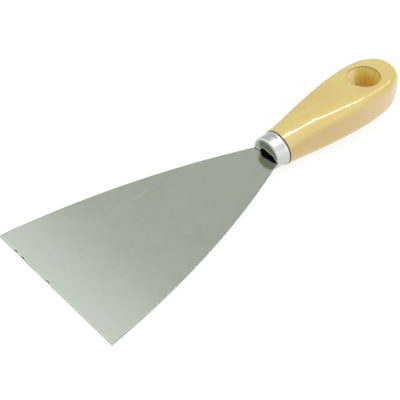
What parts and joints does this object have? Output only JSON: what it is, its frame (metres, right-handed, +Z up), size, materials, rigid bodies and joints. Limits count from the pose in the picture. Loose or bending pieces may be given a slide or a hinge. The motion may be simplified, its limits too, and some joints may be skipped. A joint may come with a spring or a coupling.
{
  "type": "drywall taping knife",
  "caption": "Hand taping knife: thin flared steel blade in a short metal ferrule on a lacquered hardwood handle with a hanging hole.",
  "frame": {"origin": "centre of the footprint of the knife as it lies on a flat surface, at the height of that surface", "axes": "+X from the blade's front edge back to the butt of the handle, +Y to the left seen from behind the front edge looking along +X, +Z up"},
  "size_m": [0.2634, 0.1, 0.0337],
  "materials": {
    "spring_steel": "satin ground sheet steel",
    "plated_steel": "bright plated sheet steel",
    "lacquered_wood": "light hardwood under gloss clear lacquer",
    "adhesive": "set adhesive, hidden inside the handle"
  },
  "bodies": {
    "root": {"blade": "spring_steel", "ferrule": "plated_steel", "handle": "lacquered_wood", "tang_adhesive": "adhesive"}
  },
  "joints": []
}
